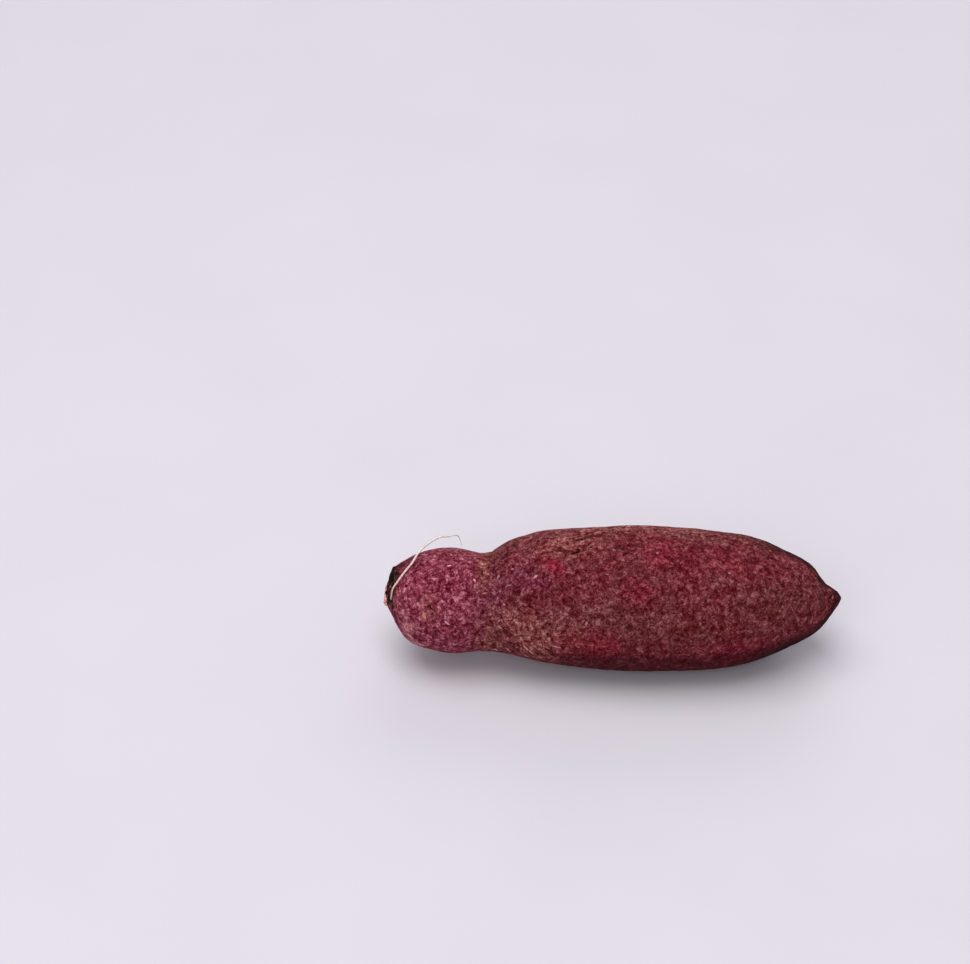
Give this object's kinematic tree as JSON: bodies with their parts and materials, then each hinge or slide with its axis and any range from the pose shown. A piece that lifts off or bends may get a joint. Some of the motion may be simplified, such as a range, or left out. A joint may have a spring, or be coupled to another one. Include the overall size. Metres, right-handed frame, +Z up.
{
  "type": "sweet potato",
  "caption": "Whole raw sweet potato with purple-red skin, a waisted lobe at its stalk end, a pointed tail and one hair root; lies on its belly.",
  "frame": {"origin": "on the resting plane, under the middle of the bounding box", "axes": "+X along the root from its stalk end to its tail tip, +Z up from the surface it rests on, +Y across it to the side away from the viewer"},
  "size_m": [0.125, 0.0414, 0.0391],
  "materials": {
    "skin": "matte",
    "root_fibre": "matte"
  },
  "bodies": {
    "root": {"tuber": "skin", "hair_root": "root_fibre"}
  },
  "joints": []
}
